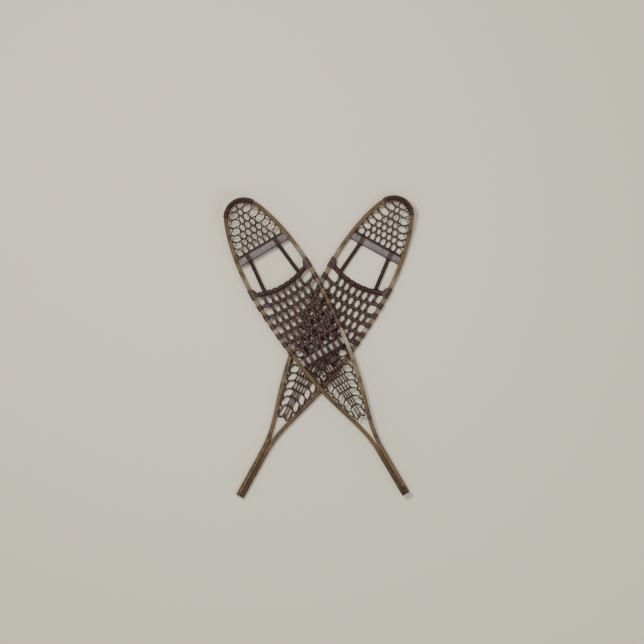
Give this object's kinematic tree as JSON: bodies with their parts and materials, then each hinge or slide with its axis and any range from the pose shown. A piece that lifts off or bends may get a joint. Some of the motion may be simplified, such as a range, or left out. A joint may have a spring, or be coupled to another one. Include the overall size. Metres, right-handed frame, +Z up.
{
  "type": "snowshoes",
  "caption": "Crossed pair of long teardrop snowshoes: bent wooden frames with crossbars, rawhide netting, toe cords, lashed rails and riveted tails.",
  "frame": {"origin": "centre of the crossed pair's box, on the surface that the lower shoe lies on", "axes": "+Z up, square to the shoes; +Y towards the toes, midway between the two shoes; +X to the right as seen from above"},
  "size_m": [0.6858, 1.079, 0.0993],
  "materials": {
    "bent_ash": "steam-bent ash, worn varnish, weathered",
    "ash_crossbar": "grey weathered ash board",
    "rawhide_lacing": "dark varnished rawhide strands",
    "rawhide_cord": "dark rawhide, several strands twisted to a cord",
    "rawhide_wrap": "dark varnished rawhide wound round the wood",
    "rawhide_thong": "dark rawhide thong",
    "copper_rivet": "dull, darkened copper"
  },
  "bodies": {
    "lower_shoe": {"lower_bent_frame": "bent_ash", "lower_front_crossbar": "ash_crossbar", "lower_rear_crossbar": "ash_crossbar", "lower_tail_rivets": "copper_rivet", "lower_tail_burrs": "copper_rivet", "lower_toe_binding": "rawhide_wrap", "lower_toe_selvage": "rawhide_thong", "lower_toe_lacing": "rawhide_lacing", "lower_left_lanyard": "rawhide_cord", "lower_right_lanyard": "rawhide_cord", "lower_toe_cord": "rawhide_cord", "lower_left_cord_lashing": "rawhide_wrap", "lower_right_cord_lashing": "rawhide_wrap", "lower_foot_lacing": "rawhide_lacing", "lower_left_rail_wraps": "rawhide_wrap", "lower_right_rail_wraps": "rawhide_wrap", "lower_rear_bar_wraps": "rawhide_wrap", "lower_tail_lacing": "rawhide_lacing", "lower_tail_selvage": "rawhide_thong"},
    "upper_shoe": {"upper_bent_frame": "bent_ash", "upper_front_crossbar": "ash_crossbar", "upper_rear_crossbar": "ash_crossbar", "upper_tail_rivets": "copper_rivet", "upper_tail_burrs": "copper_rivet", "upper_toe_binding": "rawhide_wrap", "upper_toe_selvage": "rawhide_thong", "upper_toe_lacing": "rawhide_lacing", "upper_left_lanyard": "rawhide_cord", "upper_right_lanyard": "rawhide_cord", "upper_toe_cord": "rawhide_cord", "upper_left_cord_lashing": "rawhide_wrap", "upper_right_cord_lashing": "rawhide_wrap", "upper_foot_lacing": "rawhide_lacing", "upper_left_rail_wraps": "rawhide_wrap", "upper_right_rail_wraps": "rawhide_wrap", "upper_rear_bar_wraps": "rawhide_wrap", "upper_tail_lacing": "rawhide_lacing", "upper_tail_selvage": "rawhide_thong"}
  },
  "joints": [
    {"name": "lift_upper_shoe", "type": "slide", "parent": "lower_shoe", "child": "upper_shoe", "axis": [0, 0, 1], "range_m": [0, 0.25]}
  ]
}
